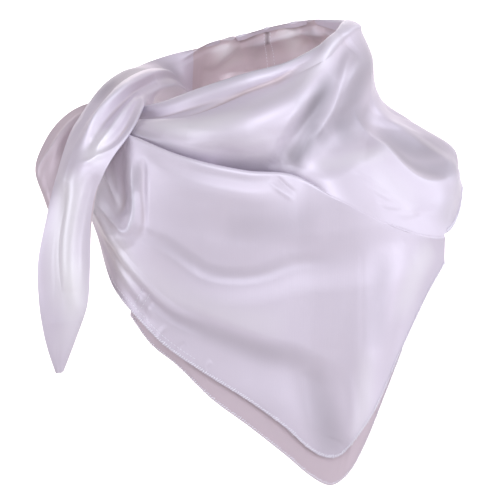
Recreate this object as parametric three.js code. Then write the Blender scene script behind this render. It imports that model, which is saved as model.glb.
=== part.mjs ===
// A square satin scarf, folded corner to corner into a two-ply triangle and tied round a neck.
// Millimetres, +Z up, the front faces -Y. The origin is the middle of the neck ring.
import * as THREE from "three";

// ---- driving dimensions ----
const WALL = 1.2; // cloth wall
const SEAM_GAP = 0.34; // between pieces of cloth that meet
const PLY_GAP = 0.3; // between plies that lie on each other
const PLEAT_DIP = 3; // how far the pleat under the cowl dips before it turns out
const ROLL_IN = 4; // how far the neck fold turns in
const PLY_SLACK = 2; // how far the inner ply hangs away from the outer one's hem
const STEP = 3; // degrees between the mesh lines of the front pieces
const STEPS = { back: 24, wrap: 22, frontTail: 18, rearTail: 20 }; // along the other pieces
const FALL_ACROSS = 15; // mesh steps down the outer front ply, from its ridge to its hem
const UNDER_TOP = 4; // of those, how many lie above the inner ply
const UNDER_BELOW = 3; // mesh steps of the inner ply below the outer one's hem
const FOLD_ENDS = 0.04; // a fold never fades nearer its ends than this part of its path
const FOLD_FULLNESS = 0.6; // below 1, a fold keeps more of its height towards its ends

// ---- tables: angles run round the neck from the front (0) to the wearer's left, in degrees ----
// The cloth round the neck, a row for each place. Each pair is a radius and a height, and the
// roll is how far the neck fold stands out and how deep it is.
const DRAPE = table(
  "angle lipR lipZ rollOut roll bellyR bellyZ yokeR yokeZ shoulderR shoulderZ edgeR edgeZ footR footZ",
  [
    [-70, 91, -28, 5, 9, 101, -36, 107, -40, 111, -42, 114, -44, 116, -46],
    [-60, 91, -24, 5, 10, 102, -35, 110, -39, 114, -41, 117, -43, 118, -45],
    [-45, 87, -18, 5, 13, 104, -32, 113, -37, 118, -40, 121, -42, 121, -45],
    [-25, 84, -7, 5, 15, 105, -32, 112, -43, 114, -49, 113, -55, 112, -60],
    [0, 82, 5, 5, 15, 106, -27, 112, -43, 111, -55, 109, -64, 107, -71],
    [20, 82, 12, 5, 14, 105, -18, 110, -38, 111, -53, 112, -65, 111, -73],
    [33, 82, 18, 5, 13, 102, -11, 107, -35, 114, -54, 122, -71, 129, -84],
    [46, 81, 25, 6, 12, 100, -3, 105, -33, 119, -56, 135, -82, 147, -101],
    [59, 80, 33, 7, 11, 100, 3, 105, -31, 126, -62, 148, -94, 162, -117],
    [69, 81, 38, 8, 10, 101, 7, 107, -30, 134, -67, 161, -99, 173, -125],
    [80, 82, 42, 10, 9, 104, 10, 109, -27, 142, -59, 171, -84, 178, -113],
    [90, 84, 43, 12, 10, 105, 12, 111, -21, 147, -49, 177, -69, 181, -92],
    [99, 85, 42, 11, 10, 105, 12, 114, -22, 148, -46, 176, -65, 180, -86],
    [115, 83, 41, 8, 10, 103, 9, 113, -21, 139, -47, 158, -72, 165, -104],
    [135, 79, 40, 6, 10, 96, 8, 107, -18, 123, -50, 135, -82, 143, -116],
    [160, 75, 34, 5, 10, 91, 4, 101, -20, 109, -50, 115, -86, 119, -120],
    [185, 75, 25, 5, 10, 90, -4, 98, -24, 104, -48, 107, -78, 109, -106],
    [203, 80, 19, 5, 10, 93, -8, 99, -24, 102, -42, 104, -62, 105, -84],
  ],
);
// The end that passes over the shoulder and hangs in front: its outer edge, its inner edge, how
// far it is crowned between them, and where its hem turns back to from the inner edge.
const WRAP = table("station outerX outerY outerZ innerX innerY innerZ crown backX backY backZ", [
  [221, -60, 66, 11, -49, 57, -26, 1, -8, 8, -28],
  [234, -81, 52, 5, -51, 38, -18, 3, -20, 14, -20],
  [248, -95, 34, 0, -58, 16, -13, 6, -22, 8, -14],
  [262, -106, 4, -4, -69, -4, -13, 9, -16, 2, -8],
  [276, -117, -32, -12, -79, -28, -17, 11, -13, -2, -4],
  [290, -128, -58, -27, -81, -54, -23, 13, -13, -6, -1],
  [304, -138, -75, -44, -88, -84, -38, 14, -13, 1, -1],
  [320, -147, -90, -74, -104, -102, -61, 12, -12, 4, -1],
  [336, -154, -96, -101, -113, -105, -81, 9, -12, 4, 0],
  [352, -162, -98, -140, -119, -104, -112, 7, -12, 4, 0],
  [368, -162, -99, -172, -121, -103, -146, 7, -11, 3, 0],
  [382, -159, -98, -198, -124, -100, -176, 5, -9, 3, -2],
  [391, -156, -97, -212, -132, -98, -197, 4, -7, 2, -3],
  [398, -150, -96, -226, -142, -97, -220, 2, -3, 1, -2],
]);
// The other end, passing under that one and hanging behind it.
const REAR = table("station outerX outerY outerZ innerX innerY innerZ crown backX backY backZ", [
  [12, -100, -14, -29, -109, -20, -50, 2, 1, 1, -5],
  [24, -116, -5, -24, -119, -18, -54, 4, 1, 2, -7],
  [38, -136, -8, -28, -125, -36, -64, 7, -3, 5, -6],
  [52, -152, -19, -39, -128, -52, -77, 9, -8, 7, -3],
  [66, -163, -34, -55, -130, -62, -90, 9, -9, 7, 0],
  [80, -169, -46, -75, -131, -67, -103, 8, -9, 6, 0],
  [96, -161, -56, -98, -132, -69, -120, 7, -8, 5, 0],
  [114, -151, -60, -126, -131, -68, -136, 5, -7, 4, 0],
  [130, -145, -61, -152, -132, -65, -156, 4, -5, 3, 0],
  [144, -141, -61, -174, -135, -64, -172, 2, -2, 1, 0],
]);
// The front point of the triangle, outer ply: how far its ridge stands out from and above the
// foot of the cloth round the neck, the radius of its middle, and its hem.
const PANEL = table("angle ridgeOut ridgeUp middleR hemR hemZ", [
  [-70, 4, -3, 134, 127, -124],
  [-62, 4, -2, 140, 128, -146],
  [-53, 4, 1, 138, 130, -167],
  [-42, 5, 2, 133, 129, -186],
  [-30, 7, 3, 126, 124, -208],
  [-16, 9, 3, 119, 116, -228],
  [2, 9, 3, 115, 112, -251],
  [16, 8, 2, 116, 115, -272],
  [25, 4, -2, 120, 119, -290],
  [31, 1, -5, 126, 125, -298],
  [36, 1, -6, 133, 131, -296],
  [41, 1, -6, 141, 139, -278],
  [46, 1, -6, 147, 146, -256],
  [54, 1, -6, 157, 155, -212],
  [62, 1, -6, 166, 165, -172],
  [68, 1, -5, 173, 173, -149],
]);
// The same corner of the inner ply, which hangs lower.
const UNDER = table("angle hemR hemZ", [
  [-46, 126, -187],
  [-38, 121, -208],
  [-28, 114, -224],
  [-14, 109, -250],
  [2, 106, -273],
  [18, 108, -298],
  [28, 115, -316],
  [34, 121, -323],
  [38, 126, -319],
  [42, 131, -307],
  [46, 137, -284],
  [50, 143, -256],
  [56, 151, -216],
]);
// Folds: a path of [angle or station, part of the way down] pairs on one sheet, the fold's half
// width, its height (negative is a valley) and its form, from 1 for a crease to 2 for a soft fold.
const DRAPE_FOLDS = folds([
  ["cowl fold", 26, 5, 2, [-16, 0.48], [10, 0.42], [38, 0.32], [60, 0.26]],
  ["cowl valley", 22, -7, 2, [2, 0.8], [22, 0.7], [38, 0.52], [54, 0.4], [68, 0.3]],
  ["neck side fold", 20, 4, 2, [30, 0.84], [46, 0.62], [58, 0.48], [74, 0.34]],
  ["shoulder fold", 28, 5, 2, [64, 0.5], [68, 0.66], [72, 0.9]],
  ["shoulder hollow", 24, -5, 2, [86, 0.58], [88, 0.74], [84, 0.98]],
  ["back shoulder fold", 22, 5, 2, [106, 0.5], [118, 0.66], [126, 0.92]],
  ["back shoulder hollow", 22, -6, 2, [124, 0.42], [138, 0.56], [148, 0.84]],
  ["back fold, upper", 17, 5, 2, [130, 0.3], [154, 0.34], [178, 0.36], [200, 0.36]],
  ["back fold, lower", 18, 5, 2, [148, 0.66], [166, 0.66], [184, 0.64], [200, 0.62]],
  ["back hem hollow", 18, -4, 2, [146, 0.9], [164, 0.86], [182, 0.84], [198, 0.84]],
]);
const WRAP_FOLDS = folds([
  ["main ridge", 11, 5, 2, [230, 0.3], [250, 0.3], [270, 0.28], [292, 0.28], [310, 0.3]],
  ["main valley", 10, -5, 2, [252, 0.5], [272, 0.48], [292, 0.48], [310, 0.44]],
  ["tail valley", 15, -4, 2, [322, 0.28], [342, 0.26], [362, 0.26], [382, 0.3]],
]);
const REAR_FOLDS = folds([
  ["leaf hollow", 12, -4, 2, [28, 0.38], [50, 0.38], [82, 0.42], [106, 0.4]],
]);
const PANEL_FOLDS = folds([
  ["groove under the pleat", 15, -3, 2, [-52, 0.2], [-30, 0.22], [-8, 0.2], [16, 0.18]],
  ["pouch hollow", 17, -7, 2, [-58, 0.26], [-53, 0.38], [-50, 0.48]],
  ["pouch rim", 13, 4, 2, [-66, 0.4], [-58, 0.56], [-50, 0.62], [-43, 0.5], [-44, 0.32]],
  ["long valley", 20, -4, 2, [-44, 0.68], [-28, 0.62], [-10, 0.56], [10, 0.5], [34, 0.44], [56, 0.42]],
  ["low hollow", 28, -5, 2, [-40, 0.86], [-22, 0.82], [-4, 0.74], [16, 0.66], [32, 0.64]],
  ["front swell", 30, 4, 2, [-26, 0.38], [-4, 0.36], [14, 0.32]],
  ["point swell", 26, 4, 2, [6, 0.88], [22, 0.78], [40, 0.66], [54, 0.6]],
]);

// ---- reading the tables ----
function table(columns, rows) {
  return Object.assign(rows, { columns: columns.split(" ") });
}

function folds(rows) {
  return rows.map(([name, width, height, form, ...path]) => ({ name, width, height, form, path }));
}

function named(columns, row) {
  return Object.fromEntries(columns.map((column, i) => [column, row[i]]));
}

// A smooth row between the rows of a table, whose first column is the key.
function rowAt(rows, key) {
  const last = rows.length - 1;
  const held = THREE.MathUtils.clamp(key, rows[0][0], rows[last][0]);
  const i = Math.min(Math.max(rows.findIndex((row) => row[0] > held) - 1, 0), last - 1);
  const at = held === rows[last][0] ? last - 1 : i;
  const span = rows[at + 1][0] - rows[at][0];
  const t = (held - rows[at][0]) / span;
  const slope = (k, column) => {
    const [low, high] = [rows[Math.max(k - 1, 0)], rows[Math.min(k + 1, last)]];
    return ((high[column] - low[column]) / (high[0] - low[0])) * span;
  };
  return rows[at].map((value, column) => {
    const next = rows[at + 1][column];
    const rise = slope(at, column) * t * (1 - t) ** 2 - slope(at + 1, column) * t * t * (1 - t);
    return value + (next - value) * t * t * (3 - 2 * t) + rise;
  });
}

function polar(angle, radius, height) {
  const turn = THREE.MathUtils.degToRad(angle);
  return new THREE.Vector3(radius * Math.sin(turn), -radius * Math.cos(turn), height);
}

// ---- sections, each a list of points from the cloth's upper edge to its lower one ----
// Where those points lie on the way down the cloth, from 0 to 1.
const BAND_KNOTS = [0, 0.12, 0.17, 0.23, 0.38, 0.54, 0.7, 0.85, 1];
const TURN_BACK = 0.7; // where the hem of a hanging end turns back

function drapeSection(row) {
  const r = named(DRAPE.columns, row);
  const at = (radius, height) => polar(r.angle, radius, height);
  return [
    at(r.lipR - ROLL_IN, r.lipZ - 0.9 * r.roll),
    at(r.lipR, r.lipZ),
    at(r.lipR + 0.85 * r.rollOut, r.lipZ - 0.4 * r.roll),
    at(r.lipR + r.rollOut, r.lipZ - r.roll),
    at(r.bellyR, r.bellyZ),
    at(r.yokeR, r.yokeZ),
    at(r.shoulderR, r.shoulderZ),
    at(r.edgeR, r.edgeZ),
    at(r.footR, r.footZ),
  ];
}

// An end of the scarf, crowned towards its own outer face, with its hem turned back behind it.
function bandSections(rows) {
  const ends = rows.map((row) => named(rows.columns, row)).map((r) => ({
    outer: new THREE.Vector3(r.outerX, r.outerY, r.outerZ),
    inner: new THREE.Vector3(r.innerX, r.innerY, r.innerZ),
    back: new THREE.Vector3(r.backX, r.backY, r.backZ),
    crown: r.crown,
  }));
  return ends.map(({ outer, inner, back, crown }, i) => {
    const before = ends[Math.max(i - 1, 0)];
    const after = ends[Math.min(i + 1, ends.length - 1)];
    const along = after.outer.clone().add(after.inner).sub(before.outer).sub(before.inner);
    const out = along.cross(inner.clone().sub(outer)).setLength(crown);
    return BAND_KNOTS.map((knot) => {
      const part = Math.min(knot / TURN_BACK, 1);
      const turned = Math.max(knot - TURN_BACK, 0) / (1 - TURN_BACK);
      const point = outer.clone().lerp(inner, part).addScaledVector(out, Math.sin(Math.PI * part));
      return point.addScaledVector(back, turned);
    });
  });
}

// Sections at their keys, joined smoothly.
function loft(keys, sections) {
  const rows = keys.map((key, i) => [key, ...sections[i].flatMap((point) => point.toArray())]);
  return (key) => {
    const flat = rowAt(rows, key);
    return sections[0].map((_, k) => new THREE.Vector3().fromArray(flat, 1 + 3 * k));
  };
}

// ---- a sheet: a smooth surface through its sections, raised and sunk by its folds ----
class Sheet {
  constructor(knots, sectionAt, side, foldRows, hold = () => 1) {
    this.knots = knots;
    this.sectionAt = sectionAt;
    this.side = side;
    this.hold = hold;
    this.folds = foldRows.map((fold) => this.layFold(fold));
  }

  // The smooth cloth at one angle or station, part of the way down.
  at(key, down) {
    const rows = this.sectionAt(key).map((point, k) => [this.knots[k], point.x, point.y, point.z]);
    return new THREE.Vector3().fromArray(rowAt(rows, down), 1);
  }

  layFold(fold) {
    const path = new THREE.CatmullRomCurve3(fold.path.map(([key, down]) => new THREE.Vector3(key, down, 0)));
    return { ...fold, points: path.getPoints(24).map(({ x, y }) => this.at(x, y)) };
  }

  // How far all folds together lift the cloth at a point.
  lift(point) {
    const segment = new THREE.Line3();
    const nearest = new THREE.Vector3();
    let sum = 0;
    for (const fold of this.folds) {
      let best = Infinity;
      let along = 0;
      for (let i = 0; i + 1 < fold.points.length; i += 1) {
        segment.set(fold.points[i], fold.points[i + 1]);
        const part = segment.closestPointToPointParameter(point, true);
        const distance = segment.at(part, nearest).distanceTo(point);
        if (distance < best) {
          best = distance;
          along = (i + part) / (fold.points.length - 1);
        }
      }
      if (best >= fold.width) continue;
      const place = THREE.MathUtils.clamp(along, FOLD_ENDS, 1 - FOLD_ENDS);
      const fade = Math.sin(Math.PI * place) ** FOLD_FULLNESS;
      sum += fold.height * fade * (1 - (best / fold.width) ** fold.form) ** 2;
    }
    return sum;
  }

  // Points down the cloth at one key, each with the way its outer face looks.
  line(key, downs) {
    const alongNudge = 0.4;
    const downNudge = 0.005;
    return downs.map((down) => {
      const point = this.at(key, down);
      const along = this.at(key + alongNudge, down).sub(this.at(key - alongNudge, down));
      const downwards = this.at(key, down + downNudge).sub(this.at(key, down - downNudge));
      const normal = downwards.cross(along).normalize().multiplyScalar(this.side);
      point.addScaledVector(normal, this.hold(key, down) * this.lift(point));
      return { point, normal };
    });
  }

  // A grid of such points, from one key to another.
  grid(from, to, steps, downs) {
    return range(steps).map((i) => this.line(THREE.MathUtils.lerp(from, to, i / steps), downs));
  }
}

function range(steps) {
  return Array.from({ length: steps + 1 }, (_, i) => i);
}

// Cut one end of a grid back by half a seam gap, measured square to the seam.
function trim(grid, atStart) {
  const [edge, next] = atStart ? [grid[0], grid[1]] : [grid.at(-1), grid.at(-2)];
  const moves = edge.map(({ point }, j) => {
    const seam = edge[Math.min(j + 1, edge.length - 1)].point.clone().sub(edge[Math.max(j - 1, 0)].point);
    const back = next[j].point.clone().sub(point);
    const square = back.length() / back.clone().projectOnPlane(seam.normalize()).length();
    return back.setLength(square * (SEAM_GAP / 2));
  });
  edge.forEach(({ point }, j) => point.add(moves[j]));
}

// ---- a closed wall of cloth on a grid ----
function wall(grid, side) {
  const rows = grid.length;
  const columns = grid[0].length;
  const positions = [WALL / 2, -WALL / 2].flatMap((out) =>
    grid.flat().flatMap(({ point, normal }) => point.clone().addScaledVector(normal, out).toArray()),
  );
  const outer = (i, j) => i * columns + j;
  const inner = (i, j) => rows * columns + i * columns + j;
  const index = [];
  const corner = (k) => new THREE.Vector3().fromArray(positions, 3 * k);
  // Two triangles, parted along the shorter diagonal.
  const quad = (a, b, c, d) => {
    const short = corner(a).distanceTo(corner(c)) <= corner(b).distanceTo(corner(d));
    const faces = short ? [a, b, c, a, c, d] : [a, b, d, b, c, d];
    index.push(...(side > 0 ? faces : faces.reverse()));
  };
  for (let i = 0; i + 1 < rows; i += 1) {
    for (let j = 0; j + 1 < columns; j += 1) {
      quad(outer(i, j), outer(i, j + 1), outer(i + 1, j + 1), outer(i + 1, j));
      quad(inner(i, j), inner(i + 1, j), inner(i + 1, j + 1), inner(i, j + 1));
    }
    quad(outer(i + 1, 0), inner(i + 1, 0), inner(i, 0), outer(i, 0));
    quad(outer(i, columns - 1), inner(i, columns - 1), inner(i + 1, columns - 1), outer(i + 1, columns - 1));
  }
  for (let j = 0; j + 1 < columns; j += 1) {
    quad(outer(0, j + 1), outer(0, j), inner(0, j), inner(0, j + 1));
    quad(outer(rows - 1, j), outer(rows - 1, j + 1), inner(rows - 1, j + 1), inner(rows - 1, j));
  }
  const geometry = new THREE.BufferGeometry();
  geometry.setAttribute("position", new THREE.Float32BufferAttribute(positions, 3));
  geometry.setIndex(index);
  geometry.computeVertexNormals();
  return geometry;
}

// ---- the sheets ----
const ringKeys = [...DRAPE, ...WRAP].map(([key]) => key);
const ringLoft = loft(ringKeys, [...DRAPE.map(drapeSection), ...bandSections(WRAP)]);
const PLEAT_END = 69; // the pleat under the cowl joins the hem here
const PLEAT_HOLD = 0.84; // folds die out from here down to the pleat, where the front point is joined on
const PLEAT_FADE = 8; // and are whole again this many degrees past its end
const holdAtPleat = (key, down) => {
  const open = THREE.MathUtils.smoothstep(key, PLEAT_END + 1, PLEAT_END + 1 + PLEAT_FADE);
  return Math.max(open, 1 - THREE.MathUtils.smoothstep(down, PLEAT_HOLD, 1));
};
const drape = new Sheet(BAND_KNOTS, ringLoft, 1, DRAPE_FOLDS, holdAtPleat);
const wrap = new Sheet(BAND_KNOTS, ringLoft, -1, WRAP_FOLDS);

// The rear end starts where the cloth round the neck stops, and keeps its direction there.
const rearKeys = [DRAPE[0][0] - DRAPE[1][0], 0, ...REAR.map(([key]) => key)];
const rearSections = [drapeSection(DRAPE[1]), drapeSection(DRAPE[0]), ...bandSections(REAR)];
const rear = new Sheet(BAND_KNOTS, loft(rearKeys, rearSections), -1, REAR_FOLDS);

// The front point hangs from the foot of the cloth round the neck. Its way down counts from the
// ridge of the pleat, and is below 0 in the pleat itself.
const PLEAT_KNOTS = [-0.105, -0.098, -0.075, -0.051, -0.017, 0];
const FALL_KNOTS = [0.12, 0.35, 0.6, 0.82, 1];

function panelSection(angle) {
  const r = named(PANEL.columns, rowAt(PANEL, angle));
  const foot = drape.at(angle, 1);
  const down = foot.clone().sub(drape.at(angle, 0.99)).normalize();
  const footR = Math.hypot(foot.x, foot.y);
  const ridgeR = footR + r.ridgeOut;
  const ridgeZ = foot.z + r.ridgeUp;
  // Shares of the way from one size to the next give the pleat and the fall their round.
  const between = THREE.MathUtils.lerp;
  const pleat = (out, up) => polar(angle, between(footR, ridgeR, out), foot.z + up);
  const fall = (knot, radius) => polar(angle, radius, between(ridgeZ, r.hemZ, FALL_KNOTS[knot]));
  return [
    foot.clone().addScaledVector(down, SEAM_GAP),
    foot.clone().addScaledVector(down, 4 * SEAM_GAP),
    pleat(0.22, -PLEAT_DIP),
    pleat(0.5, between(-PLEAT_DIP, r.ridgeUp, 0.35)),
    pleat(0.8, r.ridgeUp),
    pleat(1, r.ridgeUp - PLEAT_DIP / 2),
    fall(0, between(ridgeR, r.middleR, 0.4)),
    fall(1, between(ridgeR, r.middleR, 0.85)),
    fall(2, r.middleR),
    fall(3, between(r.middleR, r.hemR, 0.55)),
    fall(4, r.hemR),
  ];
}

const FALL_DOWNS = range(FALL_ACROSS).map((j) => j / FALL_ACROSS);
const panel = new Sheet([...PLEAT_KNOTS, ...FALL_KNOTS], panelSection, 1, PANEL_FOLDS);

// The inner ply lies against the outer one's back and comes out below its hem.
function underLine(angle) {
  const r = named(UNDER.columns, rowAt(UNDER, angle));
  const backed = panel.line(angle, FALL_DOWNS.slice(UNDER_TOP));
  backed.forEach(({ point, normal }, i) => {
    point.addScaledVector(normal, -(WALL + PLY_GAP + (PLY_SLACK * i) / backed.length));
  });
  const last = backed.at(-1);
  const hem = polar(angle, r.hemR, r.hemZ);
  const below = range(UNDER_BELOW).slice(1).map((i) => (
    { point: last.point.clone().lerp(hem, i / UNDER_BELOW), normal: last.normal }
  ));
  return [...backed, ...below];
}

// ---- the pieces ----
const SATIN = { color: 0xded6e6, roughness: 0.35, metalness: 0 };
const SATIN_INSIDE = { color: 0xd9cbd3, roughness: 0.4, metalness: 0 };
const SIDE_SEAM = 110;
const SHOULDER_SEAM = 212;
const KNOT_SEAM = 312;
const BAND_DOWNS = [0, 0.07, 0.12, 0.15, 0.18, 0.23, 0.31, 0.4, 0.5, 0.59, 0.66, 0.7, 0.74, 0.82, 0.91, 1];
const scarf = new THREE.Group();

function addPiece(name, grid, side, finish, trimStart, trimEnd) {
  if (trimStart) trim(grid, true);
  if (trimEnd) trim(grid, false);
  const mesh = new THREE.Mesh(wall(grid, side), new THREE.MeshStandardMaterial(finish));
  mesh.name = name;
  scarf.add(mesh);
}

function addBand(name, sheet, from, to, steps, finish, open) {
  addPiece(name, sheet.grid(from, to, steps, BAND_DOWNS), sheet.side, finish, true, !open);
}

const ends = (rows) => [rows[0][0], rows.at(-1)[0]];
const stepsOver = (from, to) => Math.round((to - from) / STEP);
const [drapeStart] = ends(DRAPE);
addBand("neck_drape_front", drape, drapeStart, SIDE_SEAM, stepsOver(drapeStart, SIDE_SEAM), SATIN, false);
addBand("neck_drape_back", drape, SIDE_SEAM, SHOULDER_SEAM, STEPS.back, SATIN, false);
addBand("knot_wrap", wrap, SHOULDER_SEAM, KNOT_SEAM, STEPS.wrap, SATIN, false);
addBand("front_tail", wrap, KNOT_SEAM, ends(WRAP)[1], STEPS.frontTail, SATIN, true);
addBand("rear_tail", rear, 0, ends(REAR)[1], STEPS.rearTail, SATIN_INSIDE, true);
const panelDowns = [...PLEAT_KNOTS, ...FALL_DOWNS.slice(1)];
const panelGrid = panel.grid(...ends(PANEL), stepsOver(...ends(PANEL)), panelDowns);
addPiece("front_panel", panelGrid, 1, SATIN, false, false);
const underGrid = range(stepsOver(...ends(UNDER))).map((i) => underLine(UNDER[0][0] + i * STEP));
addPiece("under_panel", underGrid, 1, SATIN_INSIDE, false, false);

export default scarf;
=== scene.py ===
import math

import bpy
import numpy as np
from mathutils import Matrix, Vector
from numpy.linalg import norm


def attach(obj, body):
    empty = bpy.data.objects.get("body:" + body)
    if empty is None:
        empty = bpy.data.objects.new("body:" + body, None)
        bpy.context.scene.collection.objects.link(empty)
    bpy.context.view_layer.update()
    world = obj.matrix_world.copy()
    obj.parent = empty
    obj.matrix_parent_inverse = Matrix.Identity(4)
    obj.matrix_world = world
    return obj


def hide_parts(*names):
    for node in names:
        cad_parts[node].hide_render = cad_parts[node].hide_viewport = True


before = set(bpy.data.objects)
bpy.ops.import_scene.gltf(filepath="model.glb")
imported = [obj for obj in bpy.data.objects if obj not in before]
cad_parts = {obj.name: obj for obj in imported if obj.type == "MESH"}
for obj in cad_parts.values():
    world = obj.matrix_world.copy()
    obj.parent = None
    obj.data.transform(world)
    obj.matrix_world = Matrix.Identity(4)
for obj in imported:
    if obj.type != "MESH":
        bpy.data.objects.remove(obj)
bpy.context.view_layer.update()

# ---- the cloth's sizes ----
CLOTH = 0.6  # thickness of the satin
HEM_ROLL = 1.5  # thickness of a rolled hem
HEM_WIDTH = 3.2  # how wide the rolled hem is
PLY_GAP = 0.9  # between the two plies of the front point
PLEAT_DIP = 3.0  # how far the pleat under the cowl dips before it turns out
TUCK_DIP = 1.0  # the same where it is a pressed tuck across the shoulder
ROLL_IN = 4.0  # how far the neck fold turns in at the front
ROLL_FLAT = 7.0  # how much flatter it lies at the back
PLY_SLACK = 2.0  # how far the inner ply hangs away from the outer one's hem
PLY_START = 4 / 15  # how far down the outer ply the inner one begins
FRONT_START = -70  # the angle where the cloth round the neck and the front point begin
SIDE_SEAM, SHOULDER_SEAM, KNOT_SEAM, TAIL_END = 110, 212, 312, 398
POINT_END = 68  # the angle where the front point ends
BACK_SEAM = (164.2, 168.0)  # the angles of the two rows of stitches inside the back
BACK_SEAM_TOP, BACK_SEAM_END = 0.02, 0.56  # parts of the way down
LOW_HEM = (12, 52)  # the lower left hem, in degrees from the start of the front point
LOW_HEM_INSET = 6.6  # from that hem to its second row of stitches
DARTS = (-35.5, -38)  # the angles of the two short rows that run down to it
DART_TOP, DART_LENGTH, DART_DRIFT = 0.78, 0.15, 4.5  # parts of the way down, then degrees
OVERLOCK_GAP, RUNNING_GAP = 2.0, 3.0  # from stitch to stitch
OVERLOCK = {"reach": 3.3, "thread": 0.5, "lean": 1.15, "unevenness": 0.42}
RUNNING = {"reach": 2.3, "thread": 0.3, "lean": 0.0, "unevenness": 0.1}

# ---- the studio's sizes, in metres ----
FLOOR_LEVEL = -0.9
SWEEP_START, SWEEP_BEND, SWEEP_RADIUS, SWEEP_TOP = -3.0, 1.2, 1.4, 5.0
SCARF_MIDDLE = (0, 0, -0.13)
COOL_LAMP, WHITE_LAMP, WARM_AIR = (0.88, 0.92, 1), (1, 1, 1), (1, 0.94, 0.95, 1)
CAMERA_PLACE, CAMERA_TARGET, CAMERA_LENS = (0.0042, -1.4772, 0.1112), (0.0042, 0, -0.1493), 128.6

# ---- tables: angles run round the neck from the front (0) to the wearer's left ----
# The cloth round the neck: angle, then a radius and a height for the lip, how far the neck fold
# stands out and how deep it is, then radius and height for belly, yoke, shoulder, edge and foot.
DRAPE = [
    (-70, 91, -28, 5, 9, 101, -36, 107, -40, 111, -42, 114, -44, 116, -46),
    (-60, 91, -24, 5, 10, 102, -35, 110, -39, 114, -41, 117, -43, 118, -45),
    (-45, 87, -18, 5, 13, 104, -32, 113, -37, 118, -40, 121, -42, 121, -45),
    (-25, 84, -7, 5, 15, 105, -32, 112, -43, 113, -49, 111, -55, 109, -60),
    (0, 82, 5, 5, 15, 106, -27, 112, -43, 110, -55, 105, -64, 101, -71),
    (20, 82, 12, 5, 14, 105, -18, 110, -38, 110, -53, 108, -66, 105, -74),
    (33, 82, 18, 5, 13, 102, -11, 107, -35, 114, -55, 123, -74, 129, -88),
    (46, 81, 25, 6, 12, 100, -3, 105, -33, 119, -57, 136, -86, 148, -107),
    (59, 80, 33, 7, 11, 100, 3, 105, -31, 126, -62, 149, -97, 163, -121),
    (69, 81, 38, 8, 10, 101, 7, 107, -30, 134, -67, 161, -99, 173, -125),
    (80, 82, 42, 10, 9, 104, 10, 109, -27, 142, -59, 171, -84, 178, -113),
    (90, 84, 43, 12, 10, 105, 12, 111, -21, 147, -49, 177, -69, 181, -92),
    (99, 85, 42, 11, 10, 105, 12, 114, -22, 148, -46, 176, -65, 180, -86),
    (115, 83, 41, 8, 10, 103, 9, 113, -21, 139, -47, 158, -72, 165, -104),
    (135, 79, 40, 6, 10, 96, 8, 107, -18, 123, -50, 135, -82, 143, -116),
    (160, 75, 34, 5, 10, 91, 4, 101, -20, 109, -50, 115, -86, 119, -120),
    (185, 75, 25, 5, 10, 90, -4, 98, -24, 104, -48, 107, -78, 109, -106),
    (203, 80, 19, 5, 10, 93, -8, 99, -24, 102, -42, 104, -62, 105, -84),
]
# A hanging end: station, its outer edge, its inner edge, how far it is crowned between them, and
# where its hem turns back to from the inner edge.
WRAP = [
    (221, -60, 66, 11, -49, 57, -26, 1, -8, 8, -28),
    (234, -81, 52, 5, -51, 38, -18, 3, -20, 14, -20),
    (248, -95, 34, 0, -58, 16, -13, 6, -22, 8, -14),
    (262, -106, 4, -4, -69, -4, -13, 9, -9, 4, -12),
    (276, -117, -32, -12, -79, -28, -17, 11, 5, 3, -13),
    (290, -128, -58, -27, -81, -54, -23, 13, -5, 1, -5),
    (304, -138, -75, -44, -88, -84, -38, 14, -13, 1, -1),
    (320, -147, -90, -74, -104, -102, -61, 12, -12, 4, -1),
    (336, -154, -96, -101, -113, -105, -81, 9, -12, 4, 0),
    (352, -162, -98, -140, -119, -104, -112, 7, -12, 4, 0),
    (368, -162, -99, -172, -121, -103, -146, 7, -11, 3, 0),
    (382, -159, -98, -198, -124, -100, -176, 5, -9, 3, -2),
    (391, -155, -97, -216, -133, -98, -202, 4, -7, 2, -3),
    (398, -150, -96, -232, -144, -97, -230, 2, -3, 1, -2),
]
REAR = [
    (12, -100, -14, -29, -109, -20, -50, 2, 1, 1, -5),
    (24, -116, -5, -24, -119, -18, -54, 4, 1, 2, -7),
    (38, -136, -8, -28, -125, -36, -64, 7, -3, 5, -6),
    (52, -152, -19, -39, -128, -52, -77, 9, -8, 7, -3),
    (66, -163, -34, -55, -130, -62, -90, 9, -9, 7, 0),
    (80, -169, -46, -75, -131, -67, -103, 8, -9, 6, 0),
    (96, -161, -56, -98, -132, -69, -120, 7, -8, 5, 0),
    (114, -151, -60, -126, -131, -68, -136, 5, -7, 4, 0),
    (130, -145, -61, -152, -132, -65, -156, 4, -5, 3, 0),
    (144, -141, -61, -174, -135, -64, -172, 2, -2, 1, 0),
]
# The front point, outer ply: angle, how far its ridge stands out from and above the foot of the
# cloth round the neck, the radius of its middle, and the radius and height of its hem.
PANEL = [
    (-70, 4, -3, 134, 127, -124),
    (-62, 4, -2, 140, 128, -146),
    (-53, 4, 1, 138, 130, -167),
    (-42, 6, 2, 133, 129, -186),
    (-30, 9, 3, 126, 124, -208),
    (-16, 12, 3, 119, 116, -228),
    (2, 13, 3, 115, 112, -251),
    (16, 11, 2, 116, 115, -272),
    (25, 5.5, 0, 120, 119, -290),
    (31, 1.5, -2, 126, 125, -298),
    (36, 1, -2, 133, 131, -296),
    (41, 1, -2, 141, 139, -278),
    (46, 1, -2, 147, 146, -256),
    (54, 1, -2, 157, 155, -212),
    (62, 1, -2, 166, 165, -172),
    (68, 1, -2, 173, 173, -149),
]
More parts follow.
